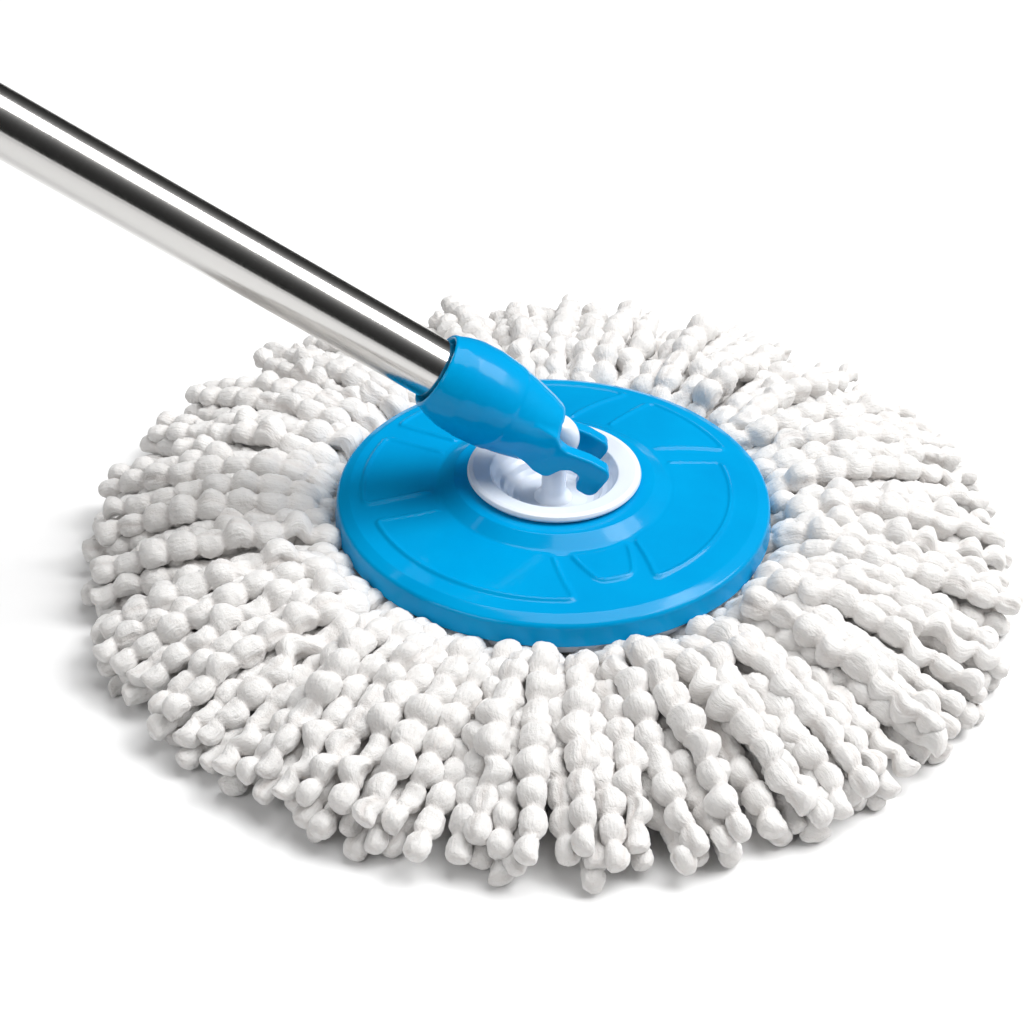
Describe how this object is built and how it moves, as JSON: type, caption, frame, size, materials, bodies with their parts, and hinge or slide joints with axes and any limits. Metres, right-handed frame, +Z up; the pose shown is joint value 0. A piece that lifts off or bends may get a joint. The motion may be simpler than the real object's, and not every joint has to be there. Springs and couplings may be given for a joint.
{
  "type": "spin mop",
  "caption": "Round yarn floor mop with a swivelling hub, tilting yoke and telescopic hand-press handle for wiping and spin drying.",
  "frame": {"origin": "centre of the flat underside of the hub's retainer, on the axis of the round head", "axes": "+Z up out of the head along the hub's swivel axis; at rest the handle leans towards -X; +Y along the tilt pin"},
  "size_m": [1.1374, 0.34, 0.6849],
  "materials": {
    "blue_plastic": "glossy injection moulded",
    "white_plastic": "slightly translucent, glossy",
    "grip_plastic": "soft satin",
    "polished_steel": "polished stainless",
    "drive_steel": "plain machined",
    "yarn": "white bubbled microfibre chenille"
  },
  "bodies": {
    "head": {"plate": "blue_plastic", "refill_ring": "white_plastic", "yarn_01": "yarn", "yarn_02": "yarn", "yarn_03": "yarn", "yarn_04": "yarn", "yarn_05": "yarn", "yarn_06": "yarn", "yarn_07": "yarn", "yarn_08": "yarn", "yarn_09": "yarn", "yarn_10": "yarn", "yarn_11": "yarn", "yarn_12": "yarn", "yarn_13": "yarn", "yarn_14": "yarn", "yarn_15": "yarn", "yarn_16": "yarn", "yarn_17": "yarn", "yarn_18": "yarn", "yarn_19": "yarn", "yarn_20": "yarn"},
    "swivel": {"hub": "white_plastic", "hub_retainer": "white_plastic"},
    "lower_handle": {"yoke": "blue_plastic", "tilt_pin": "drive_steel", "yoke_rivet": "drive_steel", "lower_tube": "polished_steel", "nut_housing": "white_plastic", "nut_cap": "white_plastic"},
    "nut": {"drive_nut": "drive_steel"},
    "upper_handle": {"upper_tube": "polished_steel", "guide_bush": "white_plastic", "bar_plug": "white_plastic", "twisted_bar": "drive_steel", "grip": "grip_plastic", "grip_cap": "blue_plastic"},
    "collar": {"lock_collar": "blue_plastic"}
  },
  "joints": [
    {"name": "hub_swivel", "type": "hinge", "parent": "head", "child": "swivel", "pos_m": [0, 0, 0.02], "axis": [0, 0, 1], "continuous": true},
    {"name": "yoke_tilt", "type": "hinge", "parent": "swivel", "child": "lower_handle", "pos_m": [0, 0, 0.0385], "axis": [0, 1, 0], "range_deg": [-12.5, 127]},
    {"name": "press_slide", "type": "slide", "parent": "lower_handle", "child": "upper_handle", "axis": [-0.8406, 0, 0.5417], "range_m": [-0.32, 0]},
    {"name": "nut_spin", "type": "hinge", "parent": "lower_handle", "child": "nut", "pos_m": [-0.46513, 0, 0.33825], "axis": [-0.8406, 0, 0.5417], "range_deg": [0, 1050]},
    {"name": "collar_twist", "type": "hinge", "parent": "upper_handle", "child": "collar", "pos_m": [-0.42449, 0, 0.31206], "axis": [-0.8406, 0, 0.5417], "range_deg": [0, 90]}
  ],
  "couplings": [
    {"joint": "nut_spin", "follows": "press_slide", "rad_per_m": -57.12}
  ]
}
